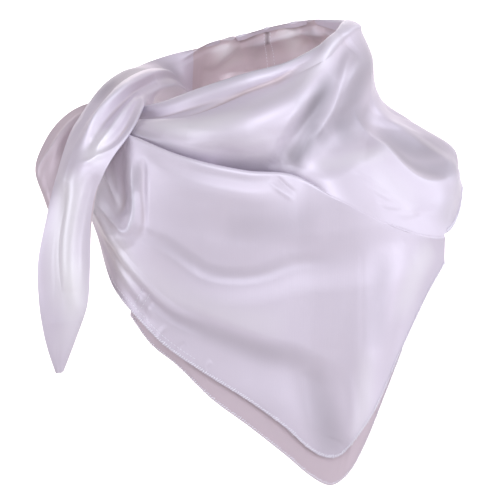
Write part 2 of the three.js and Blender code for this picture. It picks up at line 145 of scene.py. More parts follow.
# The same corner of the inner ply: angle, and the radius and height of its hem.
UNDER = [
    (-46, 126, -187),
    (-38, 121, -208),
    (-28, 114, -224),
    (-14, 109, -250),
    (2, 106, -273),
    (18, 108, -298),
    (28, 115, -316),
    (34, 121, -323),
    (38, 126, -319),
    (42, 131, -307),
    (46, 137, -284),
    (50, 143, -256),
    (56, 151, -216),
]
BAND_KNOTS = (0, 0.12, 0.17, 0.23, 0.38, 0.54, 0.7, 0.85, 1)
TURN_BACK = 0.7  # where the hem of a hanging end turns back
PLEAT_KNOTS = (-0.105, -0.098, -0.075, -0.051, -0.017, 0)
FALL_KNOTS = (0.12, 0.35, 0.6, 0.82, 1)
PLEAT_END = 69  # the pleat under the cowl joins the hem here
PLEAT_HOLD, PLEAT_FADE = 0.84, 8  # folds die out from here down to the pleat, but not past its end

# ---- folds ----
# Each is (name, half width, height, form, (angle or station, part of the way down), ...). Below 0
# it is a valley. Without a form it is round; "crease" comes to a line, "roll" is a ridge on its
# path's left with a hollow on its right, and "shelf" drops to its right and comes back slowly.
DRAPE_FOLDS = [
    ("cowl fold", 24, 6, (-24, 0.46), (-4, 0.43), (14, 0.39), (28, 0.35), (40, 0.3), (52, 0.26), (66, 0.23)),
    ("cowl valley", 16, -5, (12, 0.94), (17, 0.76), (22, 0.6), (28, 0.475), (36, 0.39), (47, 0.335), (58, 0.28),
     (72, 0.26)),
    ("neck ridge", 6, 1.0, "crease", (20, 0.82), (24, 0.72), (28, 0.61), (34, 0.55), (42.5, 0.465), (48, 0.4),
     (56, 0.33), (68, 0.28)),
    ("neck ridge body", 15, 0.9, (20, 0.8), (26, 0.68), (34, 0.57), (43, 0.48), (51, 0.41), (60, 0.36), (74, 0.32)),
    ("neck foot valley", 25, -5, (16, 0.86), (28, 0.73), (42, 0.64), (54, 0.6), (64, 0.575), (80, 0.55)),
    ("shoulder fold", 28, 4, (56, 0.66), (64, 0.74), (70, 0.84), (72, 0.98)),
    ("shoulder edge", 14, 2.6, "crease", (58, 0.5), (61, 0.58), (62.5, 0.66), (64.5, 0.73), (69, 0.78), (75, 0.82),
     (84, 0.87)),
    ("behind shoulder edge", 22, -2.5, (70, 0.5), (74, 0.6), (78, 0.68), (84, 0.74), (92, 0.78)),
    ("shoulder hollow", 24, -5, (90, 0.54), (92, 0.74), (88, 1)),
    ("shoulder top streak", 7, 0.7, (70, 0.54), (80, 0.6), (88, 0.66), (96, 0.76)),
    ("back shoulder fold", 22, 5, (106, 0.46), (118, 0.66), (126, 0.96)),
    ("back shoulder hollow", 22, -6, (124, 0.38), (138, 0.56), (148, 0.88)),
    ("back fold, upper", 17, 5, (122, 0.29), (154, 0.34), (178, 0.36), (206, 0.36)),
    ("back fold, lower", 18, 5, (144, 0.66), (166, 0.66), (184, 0.64), (206, 0.62)),
    ("back hem hollow", 18, -4, (142, 0.9), (164, 0.86), (182, 0.84), (204, 0.84)),
    ("neck crease", 5, -2, "crease", (-50, 0.36), (-40, 0.32), (-27, 0.295), (-16, 0.262), (0, 0.225), (20, 0.2),
     (31, 0.18), (42, 0.165), (54, 0.12)),
    ("neck crease, second", 6, -1.6, (14, 0.22), (24, 0.18), (36, 0.16), (48, 0.13), (60, 0.1), (74, 0.08)),
    ("neck crease rise", 8, 0.6, (-46, 0.39), (-30, 0.35), (-8, 0.3), (14, 0.26), (34, 0.23), (50, 0.2)),
    ("shoulder wrinkle", 4, -0.7, (47, 0.905), (51, 0.895), (56, 0.88)),
    ("shoulder wrinkle", 4.5, -0.8, (52, 0.94), (57, 0.915), (62, 0.885)),
    ("shoulder wrinkle", 4, -0.6, (59, 0.9), (63, 0.885), (68, 0.88)),
    ("shoulder wrinkle", 4, -0.4, (42, 0.78), (47, 0.8), (53, 0.83)),
    ("shoulder wrinkle", 4, -0.4, (46, 0.82), (51, 0.85), (56, 0.86)),
    ("cowl dimple", 12, -1.4, (-34, 0.58), (-16, 0.62), (0, 0.7)),
    ("cowl soft rise", 14, 0.7, (-10, 0.52), (2, 0.58), (10, 0.7), (12, 0.84)),
    ("back neck crease", 6, -2, "crease", (96, 0.24), (120, 0.25), (150, 0.24), (186, 0.25)),
    ("back neck rise", 9, 1.8, (98, 0.31), (124, 0.31), (150, 0.3)),
    ("back shoulder ridge", 8, 2, "crease", (100, 0.42), (114, 0.52), (124, 0.66), (131, 0.84)),
    ("back shoulder wrinkle", 5, -1.4, "crease", (92, 0.56), (100, 0.68), (104, 0.82)),
    ("back middle crease", 8, -2.2, "crease", (134, 0.5), (152, 0.51), (172, 0.5), (190, 0.47)),
    ("back middle ridge", 7, 1.8, "crease", (140, 0.43), (158, 0.42), (176, 0.43), (194, 0.42)),
    ("back low crease", 7, -1.6, "crease", (150, 0.77), (166, 0.76), (182, 0.74), (200, 0.72)),
    ("seam inside back", 4, 1.2, "crease", (166, -0.1), (166, 0.2), (167, 0.6)),
    ("inner wall hollow", 14, 3, (176, 0.14), (184, 0.3), (192, 0.46)),
    ("inner wall rise", 11, -3, (186, 0.1), (193, 0.26), (201, 0.36)),
    ("inner wall fold", 10, 2.4, (150, 0.12), (146, 0.26), (148, 0.44)),
    ("inner wall second fold", 9, -2, (138, 0.1), (134, 0.26), (138, 0.42)),
]
# Light and shade painted into the satin's colour where it turns to or from the light: strokes laid like the folds,
# with how much lighter or, below 0, darker the colour gets in place of the height.
DRAPE_PAINTED_LIGHT = [
    ("under neck crease", 13, 0.24, (-20, 0.36), (4, 0.33), (20, 0.3), (30, 0.29), (40, 0.25), (50, 0.24), (60, 0.2),
     (72, 0.2)),
    ("behind cowl fold", 15, -0.2, (18, 0.58), (27, 0.46), (36, 0.38), (47, 0.33), (58, 0.27), (74, 0.26)),
    ("foot of neck ridge", 15, -0.36, (17, 0.88), (22, 0.7), (27, 0.56), (32, 0.46), (38, 0.4), (46, 0.36)),
    ("corner of neck ridge", 14, -0.26, (18, 0.8), (24, 0.72), (30, 0.64), (36, 0.56)),
    ("thin line on neck ridge", 4, 0.14, (22, 0.76), (28, 0.61), (34, 0.55), (42.5, 0.465), (48, 0.4), (56, 0.33),
     (68, 0.29)),
    ("side of neck", 24, -0.3, (32, 0.66), (40, 0.58), (52, 0.5), (62, 0.43), (76, 0.37), (90, 0.33)),
    ("at foot of the neck", 11, 0.2, (26, 0.79), (36, 0.75), (46, 0.72), (56, 0.7), (64, 0.68)),
    ("low side of neck", 14, -0.3, (42, 0.6), (52, 0.59), (62, 0.56), (76, 0.54)),
    ("rim behind shoulder", 13, -0.26, (67, 0.6), (68, 0.69), (73, 0.76), (79, 0.81), (87, 0.87), (97, 0.95)),
    ("left of neck crease", 12, 0.34, (-50, 0.43), (-32, 0.43), (-12, 0.41), (6, 0.39)),
    ("along neck fold", 9, -0.2, (-30, 0.12), (0, 0.12), (30, 0.12), (50, 0.1), (70, 0.09)),
    ("above pleat", 10, -0.2, (-58, 0.84), (-36, 0.9), (-14, 0.96)),
    ("at edge of the shoulder", 14, 0.14, (66, 0.97), (74, 0.93), (84, 0.92), (93, 0.93)),
    ("lower cowl", 24, -0.26, (-14, 0.9), (0, 0.88), (14, 0.86), (24, 0.84)),
    ("behind shoulder", 28, -0.32, (68, 0.6), (78, 0.68), (86, 0.74), (98, 0.82)),
    ("left of cowl", 20, 0.08, (-30, 0.6), (-14, 0.6), (2, 0.58), (14, 0.5)),
    ("on shoulder", 20, 0.1, (48, 0.8), (56, 0.8), (62, 0.88)),
]
# Painted light and shade on the inner face of the back, on either side of its seam.
DRAPE_INSIDE_PAINTED_LIGHT = [
    ("left of seam", 18, 0.42, (196, 0.14), (191, 0.26), (186, 0.4)),
    ("left of seam", 12, -0.14, (176, 0.1), (174, 0.26), (174, 0.44)),
    ("right of seam", 16, 0.4, (157, 0.1), (152, 0.24), (150, 0.4)),
    ("at right", 12, -0.14, (140, 0.1), (138, 0.24), (136, 0.4)),
    ("along seam", 3, -0.5, (166, -0.04), (166, 0.2), (167, 0.56)),
]
# Painted light and shade on the knot and the hanging end.
WRAP_PAINTED_LIGHT = [
    ("outer top", 17, -0.38, (240, 0.16), (254, 0.15), (266, 0.16), (278, 0.18), (292, 0.2)),
    ("behind knot", 14, -0.18, (226, 0.5), (238, 0.56), (250, 0.62), (262, 0.66)),
    ("top behind knot", 15, -0.18, (220, 0.3), (232, 0.32), (246, 0.38), (258, 0.42)),
    ("low on tail", 14, 0.24, (358, 0.5), (372, 0.54), (384, 0.5), (395, 0.4)),
    ("at dent", 12, 0.36, (306, 0.5), (314, 0.5), (322, 0.5)),
    ("down tail", 22, 0.5, (322, 0.3), (340, 0.34), (360, 0.36), (384, 0.44)),
]
# Painted light and shade on the front point.
PANEL_PAINTED_LIGHT = [
    ("low dark band", 16, -0.18, (-44, 0.86), (-30, 0.81), (-18, 0.775), (-10, 0.765), (0, 0.755), (10, 0.74),
     (20, 0.7), (34, 0.68)),
    ("above low band", 20, 0.16, (-42, 0.68), (-28, 0.71), (-12, 0.68), (4, 0.64), (18, 0.58)),
    ("in point", 20, -0.2, (24, 0.7), (29, 0.82), (32, 0.92), (33, 1.02)),
    ("along point", 12, 0.2, (42, 0.6), (42, 0.78), (41.5, 0.92), (39.5, 1.02)),
    ("in long valley", 13, -0.13, (-40, 0.5), (-30, 0.47), (-21.5, 0.49), (-15, 0.51), (-5, 0.485), (8, 0.42),
     (20, 0.33), (34, 0.23)),
    ("left edge", 24, 0.5, (-67, 0.08), (-62, 0.3), (-57, 0.5), (-50, 0.7), (-42, 0.86)),
    ("in pouch", 12, 0.3, (-56, 0.22), (-50, 0.36), (-46, 0.46)),
    ("under pleat", 10, -0.1, (-24, 0.06), (-8, 0.05), (6, 0.04), (18, 0.03)),
    ("below cowl", 26, -0.12, (-8, 0.24), (12, 0.2), (28, 0.14)),
    ("beside pouch", 7, -0.2, (-40.5, 0.1), (-41, 0.28), (-41.5, 0.46)),
    ("upper right", 13, -0.16, (48, 0.16), (46.5, 0.34), (45.5, 0.5), (45, 0.68)),
    ("right edge", 17, 0.26, (52, 0.72), (56, 0.5), (60, 0.3), (63, 0.12)),
]
WRAP_FOLDS = [
    ("main ridge", 11, 4, (230, 0.38), (250, 0.42), (270, 0.44), (290, 0.38), (308, 0.3)),
    ("main ridge line", 6, 2.4, "crease", (228, 0.42), (242, 0.46), (257, 0.5), (274, 0.5), (289, 0.43), (302, 0.34),
     (312, 0.28)),
    ("outer hollow", 11, -3.5, (236, 0.24), (252, 0.27), (270, 0.27), (286, 0.25), (300, 0.2), (314, 0.16)),
    ("outer rise", 8, 2, (244, 0.08), (262, 0.09), (280, 0.08), (296, 0.06)),
    ("main valley", 8, -5, (262, 0.59), (276, 0.57), (288, 0.52), (298, 0.46), (308, 0.42), (317, 0.4)),
    ("dent at its end", 8, -1.2, (311, 0.43), (315, 0.42), (319, 0.4)),
    ("middle ridge", 5.5, 1.5, "crease", (264, 0.62), (276, 0.6), (290, 0.565), (300, 0.545), (308, 0.54), (315, 0.5)),
    ("inner valley", 6, -2.6, (286, 0.64), (297, 0.635), (306, 0.63), (312, 0.61), (317, 0.55)),
    ("inner ridge", 5, 1.6, "crease", (278, 0.64), (288, 0.665), (299, 0.675), (308, 0.675), (314, 0.64),
     (318, 0.56), (321, 0.46), (321, 0.38)),
    ("tail valley", 15, -4, (326, 0.2), (342, 0.2), (362, 0.22), (382, 0.3)),
    ("tail ridge", 12, 2.5, (318, 0.48), (334, 0.44), (352, 0.42), (372, 0.44)),
    ("tail inner valley", 9, -1.8, (328, 0.62), (346, 0.6), (364, 0.58), (380, 0.56)),
    ("tail crease", 6, -1.2, "crease", (334, 0.3), (350, 0.28), (366, 0.3), (378, 0.34)),
]
REAR_FOLDS = [
    ("leaf hollow", 12, -4, (28, 0.38), (50, 0.38), (82, 0.42), (106, 0.4)),
    ("leaf streak", 5, 2.2, "crease", (34, 0.14), (46, 0.16), (56, 0.17), (66, 0.15), (76, 0.09), (84, 0.05)),
    ("leaf fold", 8, -2.5, (42, 0.3), (56, 0.3), (68, 0.28), (86, 0.25)),
    ("leaf second ridge", 6, 2, "crease", (60, 0.5), (74, 0.52), (92, 0.52), (116, 0.5)),
]
PANEL_FOLDS = [
    ("groove under pleat", 8, -1.0, (-40, 0.02), (-20, 0.04), (0, 0.04), (16, 0.02)),
    ("swell under pleat", 12, 0.9, (-44, 0.04), (-34, 0.09), (-22, 0.115), (-8, 0.1), (6, 0.09), (18, 0.06)),
    ("broad swell", 32, 3, (-40, 0.16), (-12, 0.14), (10, 0.13), (32, 0.1)),
    ("pouch hollow", 17, -4.5, (-58, 0.18), (-50, 0.34), (-47, 0.48)),
    ("pouch deep", 10, -2.6, (-51, 0), (-48, 0.2), (-46, 0.36), (-47, 0.5)),
    ("pouch rim", 13, 3, (-68, 0.38), (-58, 0.5), (-50, 0.6), (-43, 0.5), (-41, 0.28)),
    ("pouch rim line", 5.5, 2.4, "crease", (-61, 0.4), (-54, 0.48), (-48, 0.525), (-44, 0.53), (-41.5, 0.47),
     (-40.5, 0.36), (-42, 0.24), (-43, 0.1)),
    ("pouch edge", 5, 2, "crease", (-64, 0.14), (-58, 0.24), (-53, 0.33), (-48, 0.44)),
    ("pouch side valley", 6, -1.6, (-38.5, 0.08), (-38, 0.28), (-37.5, 0.48)),
    ("long valley", 25, -2.4, (-34, 0.5), (-15, 0.5), (-5, 0.475), (8, 0.41), (20, 0.33), (31, 0.25), (43, 0.18),
     (58, 0.12)),
    ("long valley line", 8, -1.1, (-60, 0.6), (-50, 0.55), (-40, 0.5), (-30, 0.46), (-21.5, 0.48), (-15, 0.5),
     (-5, 0.475), (8, 0.41), (20, 0.32), (34, 0.22)),
    ("short dip", 14, -0.8, (-11, 0.18), (-9.5, 0.32), (-13, 0.42), (-20, 0.48)),
    ("low shelf", 44, 3.4, "shelf", (-48, 0.78), (-28, 0.8), (-18, 0.775), (-10, 0.765), (0, 0.755), (10, 0.74),
     (20, 0.7), (30, 0.68), (42, 0.64)),
    ("low roll start", 9, 1.2, "roll", (-62, 0.5), (-54, 0.6), (-48, 0.715), (-40, 0.77), (-29, 0.8), (-14, 0.78)),
    ("hem side line", 7, -1.2, (-64, 0.58), (-57, 0.7), (-52, 0.82), (-47, 0.9), (-41, 0.93), (-34, 0.95)),
    ("point slope", 22, 0.7, "roll", (29, 0.6), (32, 0.74), (34, 0.88), (34.5, 1.05)),
    ("point ridge line", 7, 0.6, "crease", (37, 0.66), (38.5, 0.78), (39, 0.9), (38.5, 1)),
    ("side ridge", 26, 3, (38, 1.04), (41, 0.8), (43, 0.6), (47, 0.4), (56, 0.22)),
    ("pressed crease", 3, -0.4, "crease", (40.5, 0.16), (40.7, 0.4), (40.5, 0.64)),
    ("pinch by pleat", 4, -1.0, "crease", (12, 0.0), (16, 0.04), (20, 0.06)),
    ("pinch by pleat", 4, 0.8, "crease", (9, 0.03), (14, 0.065), (19, 0.09)),
    ("hem pucker", 4, 0.9, "crease", (-37, 0.8), (-40, 0.9), (-41, 0.99)),
    ("hem pucker", 4, -0.9, "crease", (-34.5, 0.8), (-37.5, 0.9), (-38.5, 0.99)),
    ("hem pucker", 4, 0.8, "crease", (-29, 0.88), (-32, 0.95), (-33, 1.02)),
    ("hem pucker", 4, -0.7, "crease", (-23, 0.91), (-26, 0.97), (-27, 1.02)),
    ("hem pucker", 4, 0.7, "crease", (-13, 0.92), (-15.5, 0.97), (-16, 1.02)),
]


# ---- smooth tables ----
def row_at(rows, keys):
    """Smooth rows between those of a table, whose first column is the key."""
    rows = np.asarray(rows, float)
    marks = rows[:, 0]
    last = len(rows) - 1
    held = np.clip(keys, marks[0], marks[-1])
    at = np.clip(np.searchsorted(marks, held, side="right") - 1, 0, last - 1)
    span = marks[at + 1] - marks[at]
    t = ((held - marks[at]) / span)[:, None]

    def slope(k):
        low, high = np.maximum(k - 1, 0), np.minimum(k + 1, last)
        return (rows[high] - rows[low]) / (marks[high] - marks[low])[:, None] * span[:, None]

    rise = slope(at) * t * (1 - t) ** 2 - slope(at + 1) * t * t * (1 - t)
    return rows[at] + (rows[at + 1] - rows[at]) * t * t * (3 - 2 * t) + rise


def polar(angle, radius, height):
    turn = np.radians(angle)
    return np.stack([radius * np.sin(turn), -radius * np.cos(turn), height], axis=-1)


def smooth_step(value, low, high):
    t = np.clip((value - low) / (high - low), 0, 1)
    return t * t * (3 - 2 * t)


def unit(vectors):
    return vectors / np.maximum(norm(vectors, axis=-1, keepdims=True), 1e-9)


def run_along(points):
    """How far each point of a line, or of each row of a grid, lies from its start."""
    steps = norm(np.diff(points, axis=-2), axis=-1)
    return np.insert(np.cumsum(steps, axis=-1), 0, 0, axis=-1)


def drape_sections():
    sections = []
    for angle, lip_r, lip_z, out, roll, *rest in DRAPE:
        turned_in = ROLL_IN - ROLL_FLAT * smooth_step(angle, 85, 125)
        fold_depth = 0.9 - 0.6 * smooth_step(angle, 110, 145)
        radii = [lip_r - turned_in, lip_r, lip_r + 0.85 * out, lip_r + out, *rest[0::2]]
        heights = [lip_z - fold_depth * roll, lip_z, lip_z - 0.4 * roll, lip_z - roll, *rest[1::2]]
        sections.append(polar(np.full(9, angle), np.array(radii), np.array(heights)))
    return np.array(sections)


def band_sections(rows):
    rows = np.asarray(rows, float)
    outer, inner, crown, back = rows[:, 1:4], rows[:, 4:7], rows[:, 7:8], rows[:, 8:11]
    middle = outer + inner
    along = np.vstack([middle[1] - middle[0], middle[2:] - middle[:-2], middle[-1] - middle[-2]])
    out = unit(np.cross(along, inner - outer)) * crown
    knots = np.array(BAND_KNOTS)
    part = np.minimum(knots / TURN_BACK, 1)[None, :, None]
    turned = (np.maximum(knots - TURN_BACK, 0) / (1 - TURN_BACK))[None, :, None]
    flat = outer[:, None] + (inner - outer)[:, None] * part
    return flat + out[:, None] * np.sin(np.pi * part) + back[:, None] * turned


def loft(keys, sections):
    """Sections at their keys, joined smoothly: a function from keys to sections."""
    rows = np.hstack([np.array(keys, float)[:, None], sections.reshape(len(keys), -1)])
    return lambda at: row_at(rows, at)[:, 1:].reshape(len(at), -1, 3)


def paths_through(points, steps=24):
    """A smooth path through [key, down] pairs, as points spread evenly over its pieces."""
    points = np.array(points, float)
    gaps = np.sqrt(norm(np.diff(points, axis=0), axis=1))
    marks = np.concatenate([[0], np.cumsum(gaps)])
    rows = np.hstack([marks[:, None], points])
    turns = np.interp(np.linspace(0, len(points) - 1, steps + 1), np.arange(len(points)), marks)
    return row_at(rows, turns)[:, 1:]


class Sheet:
    """A smooth surface through its sections, raised and sunk by its folds."""

    def __init__(self, knots, sections_at, folds, side=1, hold=None):
        self.knots = np.array(knots, float)
        self.sections_at = sections_at
        self.side = side
        self.hold = hold or (lambda keys, downs: 1.0)
        self.folds = [self.lay(*fold) for fold in folds]

    def weights(self, downs):
        table = np.hstack([self.knots[:, None], np.eye(len(self.knots))])
        return row_at(table, downs)[:, 1:]

    def at(self, keys, downs):
        """Points for pairs of key and part of the way down."""
        return np.einsum("ps,psc->pc", self.weights(downs), self.sections_at(keys))

    def grid(self, keys, downs):
        """Points for every key with every part of the way down."""
        return np.einsum("ms,nsc->nmc", self.weights(downs), self.sections_at(keys))

    def faces(self, keys, downs):
        """The way the outer face looks, for pairs."""
        along = self.at(keys + 0.4, downs) - self.at(keys - 0.4, downs)
        down = self.at(keys, downs + 0.005) - self.at(keys, downs - 0.005)
        return unit(np.cross(down, along)) * self.side

    def lay(self, name, width, height, *path):
        form, path = (path[0], path[1:]) if isinstance(path[0], str) else ("soft", path)
        pairs = paths_through(path)
        points = self.at(pairs[:, 0], pairs[:, 1])
        facing = self.faces(pairs[:, 0], pairs[:, 1])
        return width, height, form, points, facing

    def lift(self, points, folds):
        """How far folds together lift the cloth at each point."""
        flat = points.reshape(-1, 3)
        total = np.zeros(len(flat))
        for width, height, form, path, facing in folds:
            low, high = path.min(axis=0) - width, path.max(axis=0) + width
            near = np.flatnonzero(np.all((flat > low) & (flat < high), axis=1))
            best = np.full(len(near), np.inf)
            along = np.zeros(len(near))
            side = np.zeros(len(near))
            for i in range(len(path) - 1):
                start, step = path[i], path[i + 1] - path[i]
                away = flat[near] - start
                part = np.clip(away @ step / max(step @ step, 1e-9), 0, 1)
                away -= part[:, None] * step
                distance = norm(away, axis=1)
                closer = distance < best
                best[closer] = distance[closer]
                along[closer] = ((i + part) / (len(path) - 1))[closer]
                side[closer] = np.sign(away @ np.cross(facing[i], step))[closer]
            reach = np.minimum(best / width, 1)
            fade = 1 - (1 - np.sin(np.pi * along)) ** 2
            total[near] += height * fade * PROFILES[form](reach, side) * (reach < 1)
        return total.reshape(points.shape[:-1])

    def painted_light(self, points, strokes):
        """How much light or shade is painted into the satin's colour at each point, from strokes laid like folds."""
        return self.lift(points, [self.lay(*stroke) for stroke in strokes])

    def laid(self, keys, downs):
        """A grid of points on the folded cloth, with its normals."""
        grid = self.grid(keys, downs)
        lift = self.lift(grid, self.folds) * self.hold(keys[:, None], downs)
        moved = grid + grid_normals(grid, self.side) * lift[..., None]
        return moved, grid_normals(moved, self.side)

    def folded(self, keys, downs):
        """Points on the folded cloth and the way it faces there, for pairs."""
        points, facing = self.at(keys, downs), self.faces(keys, downs)
        lift = self.lift(points, self.folds) * self.hold(keys, downs)
        return points + facing * lift[:, None], facing


PROFILES = {
    "soft": lambda reach, side: (1 - reach**2) ** 2,
    "crease": lambda reach, side: (1 - np.sqrt(reach**2 + 0.004) / 1.002) ** 2,
    "roll": lambda reach, side: 3.5 * side * reach * (1 - reach**2) ** 2,
    "shelf": lambda reach, side: smooth_step(side * reach, -0.2, 0.32) - smooth_step(side * reach, -1, -0.2),
}


def grid_normals(grid, side=1):
    """The way the cloth faces at each point of a grid."""
    along = np.gradient(grid, axis=0)
    down = np.gradient(grid, axis=1)
    return unit(np.cross(down, along)) * side


def hold_at_pleat(keys, downs):
    """Folds keep their height down to the pleat under the cowl, and past its end."""
    past = smooth_step(keys, PLEAT_END + 1, PLEAT_END + 1 + PLEAT_FADE)
    return np.maximum(past, 1 - smooth_step(downs, PLEAT_HOLD, 1))


ring_keys = [row[0] for row in (*DRAPE, *WRAP)]
ring_loft = loft(ring_keys, np.concatenate([drape_sections(), band_sections(WRAP)]))
drape = Sheet(BAND_KNOTS, ring_loft, DRAPE_FOLDS, 1, hold_at_pleat)
wrap = Sheet(BAND_KNOTS, ring_loft, WRAP_FOLDS, -1)
rear_keys = [DRAPE[0][0] - DRAPE[1][0], 0, *(row[0] for row in REAR)]
rear_sections = np.concatenate([drape_sections()[[1, 0]], band_sections(REAR)])
rear = Sheet(BAND_KNOTS, loft(rear_keys, rear_sections), REAR_FOLDS, -1)


def panel_sections(angles):
    """The front point hangs from the foot of the cloth round the neck, by a pleat."""
    _, ridge_out, ridge_up, middle_r, hem_r, hem_z = row_at(PANEL, angles).T
    foot = drape.at(angles, np.ones(len(angles)))
    down = unit(foot - drape.at(angles, np.full(len(angles), 0.99)))
    foot_r = np.hypot(foot[:, 0], foot[:, 1])
    ridge_r, ridge_z = foot_r + ridge_out, foot[:, 2] + ridge_up
    dip = PLEAT_DIP - (PLEAT_DIP - TUCK_DIP) * smooth_step(angles, 18, 32)

    def pleat(out, up):
        return polar(angles, foot_r + out * ridge_out, foot[:, 2] + up)

    def fall(knot, radius):
        return polar(angles, radius, ridge_z + (hem_z - ridge_z) * FALL_KNOTS[knot])

    rows = [
        foot,
        foot + down * np.minimum(1.2, 0.6 * dip)[:, None],
        pleat(0.22, -dip),
        pleat(0.5, -dip + (ridge_up + dip) * 0.35),
        pleat(0.8, ridge_up),
        pleat(1, ridge_up - dip / 2),
        fall(0, ridge_r + (middle_r - ridge_r) * 0.4),
        fall(1, ridge_r + (middle_r - ridge_r) * 0.85),
        fall(2, middle_r),
        fall(3, middle_r + (hem_r - middle_r) * 0.55),
        fall(4, hem_r),
    ]
    return np.stack(rows, axis=1)


panel = Sheet((*PLEAT_KNOTS, *FALL_KNOTS), panel_sections, PANEL_FOLDS, 1)


# ---- meshes ----
def steps_between(low, high, count):
    return np.linspace(low, high, count + 1)


def even_downs(sheet, key, count, low=0, high=1):
    """Parts of the way down, evenly spaced along the cloth at one key."""
    fine = np.linspace(low, high, 400)
    run = run_along(sheet.grid(np.array([float(key)]), fine)[0])
    return np.interp(steps_between(0, run[-1], count), run, fine)


def hem_thickness(grid, share):
    """The cloth's thickness at each point, more by a share where its lower hem is rolled."""
    inside = np.clip(run_along(grid[:, ::-1])[:, ::-1] / HEM_WIDTH, 0, 1)
    round_edge = np.sqrt(np.clip(1 - (2 * inside - 1) ** 2, 0.05, 1))
    thick = np.maximum(CLOTH, np.where(inside < 1, HEM_ROLL * round_edge, 0))
    return CLOTH + (thick - CLOTH) * np.broadcast_to(share, len(grid))[:, None]


def cavity(grid, normals):
    """How far each point lies in a hollow (above 0) or on a ridge (below 0), in millimetres."""
    soft, total = grid, 0
    for _ in range(3):
        for _ in range(18):
            padded = np.pad(soft, ((1, 1), (1, 1), (0, 0)), mode="reflect", reflect_type="odd")
            soft = (padded[2:, 1:-1] + padded[:-2, 1:-1] + padded[1:-1, 2:] + padded[1:-1, :-2] + 4 * soft) / 8
        total += np.einsum("ijk,ijk->ij", soft - grid, normals)
    return total / 3


def placed(name, data):
    """A new object in the scene."""
    thing = bpy.data.objects.new(name, data)
    bpy.context.scene.collection.objects.link(thing)
    return thing


def cloth_mesh(name, grid, normals, thick, shades, inside_out):
    """A closed thin shell on a grid of points, with a map in metres and its shading normals.

    Shades are the values that the finishes read, each for the outer and the inner face.
    """
    rows, columns = grid.shape[:2]
    half = normals * (thick / 2)[..., None]
    points = np.concatenate([(grid + half).reshape(-1, 3), (grid - half).reshape(-1, 3)]) / 1000
    here = np.arange(rows * columns).reshape(rows, columns)
    under = here + rows * columns
    outer = [here[:-1, :-1], here[:-1, 1:], here[1:, 1:], here[1:, :-1]]
    lower = [under[:-1, :-1], under[1:, :-1], under[1:, 1:], under[:-1, 1:]]
    faces = [np.stack(corners, -1).reshape(-1, 4) for corners in (outer, lower)]
    for edge, turned in (((slice(None), 0), False), ((slice(None), -1), True), (0, True), (-1, False)):
        line, low = here[edge], under[edge]
        rim = np.stack([line[1:], low[1:], low[:-1], line[:-1]], -1)
        faces.append(rim[:, ::-1] if turned else rim)
    faces = np.concatenate(faces)
    if inside_out:
        faces = faces[:, ::-1]
    mesh = bpy.data.meshes.new(name)
    mesh.from_pydata(points.tolist(), [], faces.tolist())
    mesh.shade_smooth()
    along, down = run_along(grid.swapaxes(0, 1)).mean(axis=0), run_along(grid).mean(axis=0)
    flat = np.stack(np.broadcast_arrays(along[:, None], down), -1).reshape(-1, 2) / 1000
    flat = np.concatenate([flat, flat])
    corners = np.empty(len(mesh.loops), int)
    mesh.loops.foreach_get("vertex_index", corners)
    mesh.uv_layers.new(name="cloth").data.foreach_set("uv", flat[corners].astype(np.float32).ravel())
    for label, pair in shades.items():
        mesh.attributes.new(label, "FLOAT", "POINT").data.foreach_set("value", np.ravel(pair).astype(np.float32))
    mesh.update()
    shading = np.concatenate([normals.reshape(-1, 3), -normals.reshape(-1, 3)])
    mesh.normals_split_custom_set_from_vertices(shading.tolist())
    return placed(name, mesh)


# ---- finishes ----
def sums(operation, turned=False):
    """A sum of Flow that adds its Math node; turned puts the flow itself second."""

    def add(flow, other):
        pair = [other, flow] if turned else [flow, other]
        return flow.tree.flow("ShaderNodeMath", {"operation": operation}, pair)

    return add


class Flow:
    """A socket that can be used in sums."""

    def __init__(self, tree, socket):
        self.tree, self.socket = tree, socket

    __add__ = __radd__ = sums("ADD")
    __mul__ = __rmul__ = sums("MULTIPLY")
    __sub__, __rsub__ = sums("SUBTRACT"), sums("SUBTRACT", turned=True)
    __truediv__ = sums("DIVIDE")
    at_least, at_most = sums("MAXIMUM"), sums("MINIMUM")

    def held(self):
        """Kept between 0 and 1."""
        return self.at_least(0.0).at_most(1.0)

    def smooth(self, low, high):
        """0 below low, 1 above high, smooth between."""
        t = ((self - low) / (high - low)).held()
        return t * t * (3 - 2 * t)


class Maker:
    """Adds nodes to a tree and joins them."""

    def __init__(self, tree):
        self.nodes, self.links = tree.nodes, tree.links

    def add(self, kind, settings=None, values=()):
        """One node: its settings first, then the values or links of its sockets."""
        node = self.nodes.new(kind)
        for key, value in (settings or {}).items():
            setattr(node, key, value)
        pairs = values.items() if isinstance(values, dict) else enumerate(values)
        for key, value in pairs:
            self.feed(node.inputs[key], value)
        return node

    def feed(self, socket, value):
        """Joins a flow to a socket, or sets its value; None leaves it as it is."""
        if isinstance(value, Flow):
            self.links.new(value.socket, socket)
        elif value is not None:
            socket.default_value = value

    def flow(self, kind, settings=None, values=(), output=0):
        """The same, as the flow out of one of its sockets."""
        return Flow(self, self.add(kind, settings, values).outputs[output])


